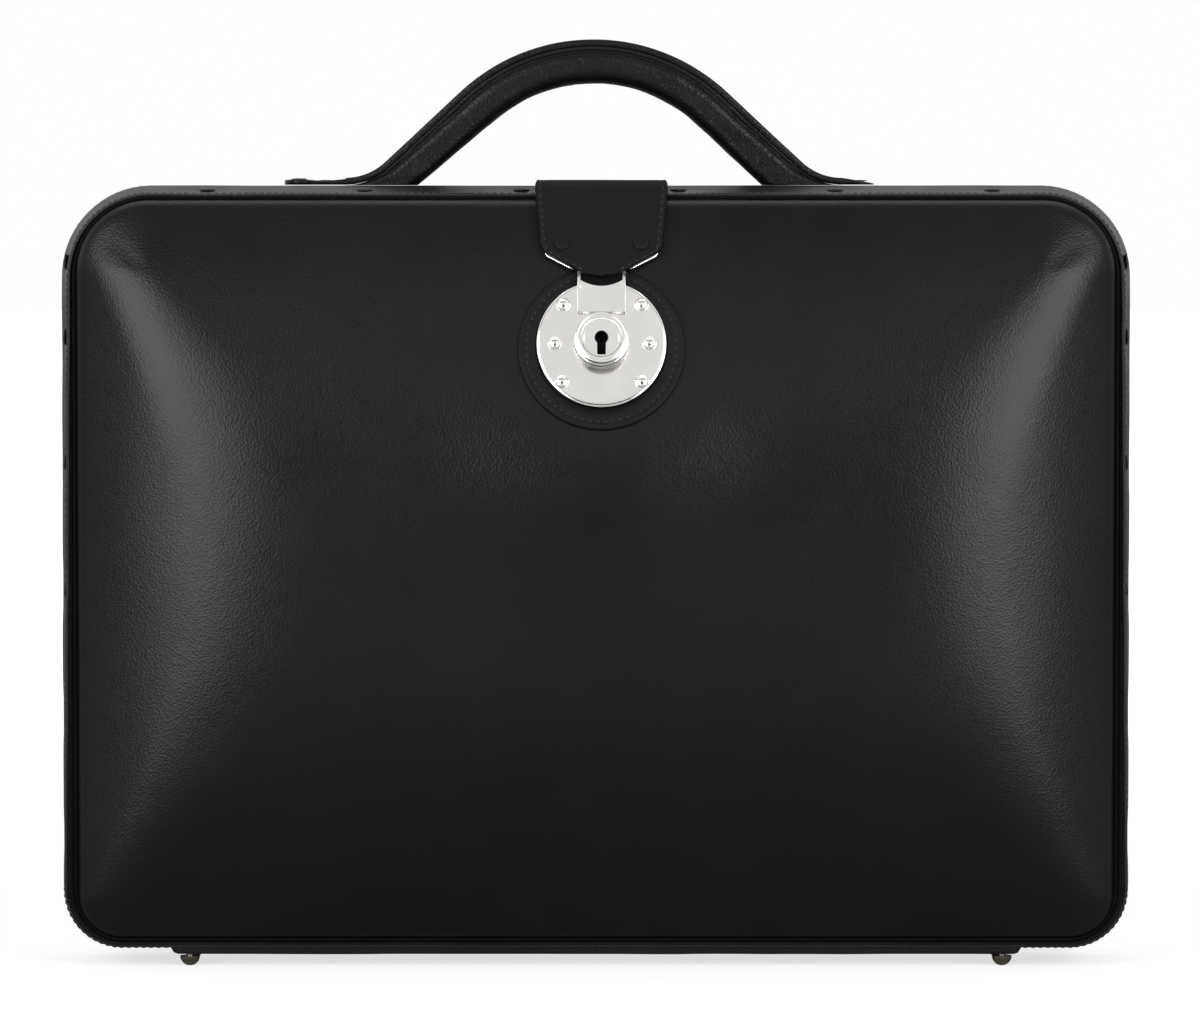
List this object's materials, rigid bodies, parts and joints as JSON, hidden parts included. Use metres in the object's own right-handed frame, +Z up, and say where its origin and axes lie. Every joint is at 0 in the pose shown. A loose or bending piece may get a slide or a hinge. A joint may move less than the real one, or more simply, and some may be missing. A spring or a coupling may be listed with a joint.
{
  "type": "briefcase",
  "caption": "Hard leather briefcase of two domed framed halves hinged along the bottom, with an arched handle, a tab with a nickel hasp and a round nickel lock.",
  "frame": {"origin": "middle of the footprint, on the surface that the feet stand on", "axes": "+X across the case, +Z up to the handle, and the lid with its lock faces -Y"},
  "size_m": [0.445, 0.1262, 0.3851],
  "materials": {
    "panel_leather": "moulded black leather with a light gloss",
    "rim_leather": "brown-black leather, stitched near its edge",
    "handle_leather": "rolled black leather, creased and lightly polished",
    "tab_leather": "matte black leather with a stitched edge",
    "suede": "soft suede lining",
    "hoop_wood": "sanded wooden hoop",
    "nickel": "polished nickel plate",
    "steel": "plain steel",
    "core_cord": "wound cord"
  },
  "bodies": {
    "case_body": {"rear_frame": "hoop_wood", "rear_band": "rim_leather", "rear_piping": "rim_leather", "rear_panel": "panel_leather", "rear_panel_lining": "suede", "rear_side_lining": "suede", "rear_rivets": "rim_leather", "rear_lip": "steel", "rear_hinge_leaf": "nickel", "hinge_pin": "steel", "rear_hinge_screws": "steel", "rear_base_strip": "rim_leather", "rear_feet": "nickel", "handle_grip": "handle_leather", "handle_core": "core_cord", "handle_strap": "handle_leather", "handle_rivets": "handle_leather", "handle_washers": "nickel", "tab_anchor": "tab_leather", "tab_anchor_rivets": "tab_leather"},
    "lid": {"lid_frame": "hoop_wood", "lid_band": "rim_leather", "lid_piping": "rim_leather", "lid_panel": "panel_leather", "lid_panel_lining": "suede", "lid_side_lining": "suede", "lid_rivets": "rim_leather", "lid_hinge_leaf": "nickel", "lid_hinge_screws": "steel", "lid_base_strip": "rim_leather", "lid_feet": "nickel", "lock_backing": "tab_leather", "lock_plate": "nickel", "lock_rivets": "nickel", "lock_boss": "nickel", "lock_case": "steel"},
    "tab": {"tab_leather": "tab_leather", "hasp_plate": "nickel", "hasp_rivets": "tab_leather"},
    "plug": {"lock_plug": "nickel"},
    "bolt": {"lock_bolt": "steel"}
  },
  "joints": [
    {"name": "lid_hinge", "type": "hinge", "parent": "case_body", "child": "lid", "pos_m": [0, -0.00247, 0.0057], "axis": [1, 0, 0], "range_deg": [0, 100]},
    {"name": "tab_lift", "type": "hinge", "parent": "case_body", "child": "tab", "pos_m": [0.0023, -0.00027, 0.3264], "axis": [-1, 0, 0], "range_deg": [0, 95]},
    {"name": "plug_turn", "type": "hinge", "parent": "lid", "child": "plug", "pos_m": [0.0023, -0.04651, 0.2591], "axis": [0, 0.9674, -0.2534], "range_deg": [0, 90]},
    {"name": "bolt_slide", "type": "slide", "parent": "lid", "child": "bolt", "axis": [1, 0, 0], "range_m": [0, 0.00848]}
  ],
  "couplings": [
    {"joint": "bolt_slide", "follows": "plug_turn", "m_per_rad": 0.0054017}
  ]
}
